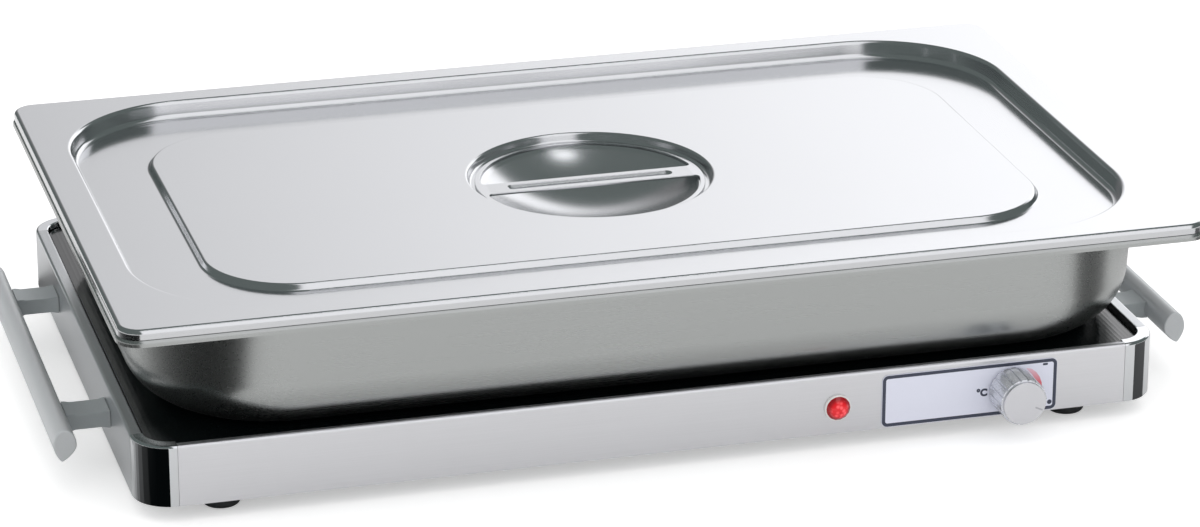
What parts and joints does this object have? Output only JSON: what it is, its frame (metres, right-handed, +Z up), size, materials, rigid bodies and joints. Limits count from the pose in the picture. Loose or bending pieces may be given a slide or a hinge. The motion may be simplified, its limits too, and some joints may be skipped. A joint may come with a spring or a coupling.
{
  "type": "electric food warmer tray",
  "caption": "Electric warming tray with a heated plate, a dial and end handles, carrying a full-size steel food pan with a lift-off lid.",
  "frame": {"origin": "middle of the tray in plan, on the surface that its feet stand on", "axes": "+X to the right along the tray's length, +Y to the back, away from the dial, +Z up"},
  "size_m": [0.568, 0.353, 0.102],
  "materials": {
    "satin_panel": "finely brushed stainless sheet",
    "satin_rail": "satin stainless sheet",
    "chrome_post": "bright chrome plating on a moulding",
    "black_glass": "black ribbed toughened glass, opaque",
    "silicone": "black silicone",
    "aluminium_sheet": "mill finish",
    "heating_track": "oxidised resistance alloy foil",
    "mica_board": "pressed mica",
    "mineral_mat": "mineral fibre mat",
    "plated_sheet": "zinc-plated sheet",
    "plated_screw": "zinc-plated steel",
    "foot_rubber": "moulded rubber",
    "handle_grey": "satin silver-grey",
    "dial_print": "printed foil",
    "black_phenolic": "moulded phenolic",
    "copper_bulb": "drawn copper",
    "red_lens": "transparent red, faceted",
    "lamp_bezel": "pale moulded ring",
    "ivory_nylon": "moulded nylon",
    "brass_stud": "turned brass",
    "lead_sleeve": "glass-fibre sleeve",
    "black_nylon": "moulded nylon",
    "steel_shaft": "turned steel",
    "knob_silver": "silver moulding",
    "pan_steel": "deep-drawn stainless, satin bright",
    "lid_steel": "pressed stainless, bright"
  },
  "bodies": {
    "tray": {"front_panel": "satin_panel", "rear_panel": "satin_panel", "left_rail": "satin_rail", "right_rail": "satin_rail", "corner_post_front_left": "chrome_post", "corner_post_front_right": "chrome_post", "corner_post_rear_left": "chrome_post", "corner_post_rear_right": "chrome_post", "heating_plate": "black_glass", "plate_seal": "silicone", "heat_spreader": "aluminium_sheet", "heating_element": "heating_track", "element_board": "mica_board", "insulation_mat": "mineral_mat", "heater_backing_pan": "plated_sheet", "base_pan": "plated_sheet", "base_screws": "plated_screw", "foot_front_left": "foot_rubber", "foot_front_right": "foot_rubber", "foot_rear_left": "foot_rubber", "foot_rear_right": "foot_rubber", "foot_screws": "plated_screw", "left_handle_bar": "handle_grey", "right_handle_bar": "handle_grey", "left_front_handle_post": "handle_grey", "left_rear_handle_post": "handle_grey", "right_front_handle_post": "handle_grey", "right_rear_handle_post": "handle_grey", "handle_screws": "plated_screw", "dial_plate": "dial_print", "thermostat_body": "black_phenolic", "thermostat_nut": "plated_screw", "sensor_bulb": "copper_bulb", "sensor_clip": "plated_sheet", "thermal_cutout": "black_phenolic", "pilot_lamp_lens": "red_lens", "pilot_lamp_bezel": "lamp_bezel", "pilot_lamp_body": "ivory_nylon", "terminal_block": "ivory_nylon", "earth_stud": "brass_stud", "internal_leads": "lead_sleeve", "gland_body": "black_nylon", "gland_cap": "black_nylon", "gland_seal": "silicone", "gland_locknut": "black_nylon"},
    "knob": {"thermostat_shaft": "steel_shaft", "knob_body": "knob_silver", "knob_cap": "knob_silver"},
    "pan": {"food_pan": "pan_steel"},
    "lid": {"lid_shell": "lid_steel", "lid_grip": "lid_steel"}
  },
  "joints": [
    {"name": "knob_turn", "type": "hinge", "parent": "tray", "child": "knob", "pos_m": [0.1746, -0.1765, 0.0222], "axis": [0, 1, 0], "range_deg": [0, 320]},
    {"name": "pan_lift", "type": "slide", "parent": "tray", "child": "pan", "axis": [0, 0, 1], "range_m": [0, 0.12]},
    {"name": "lid_lift", "type": "slide", "parent": "pan", "child": "lid", "axis": [0, 0, 1], "range_m": [0, 0.12]}
  ]
}
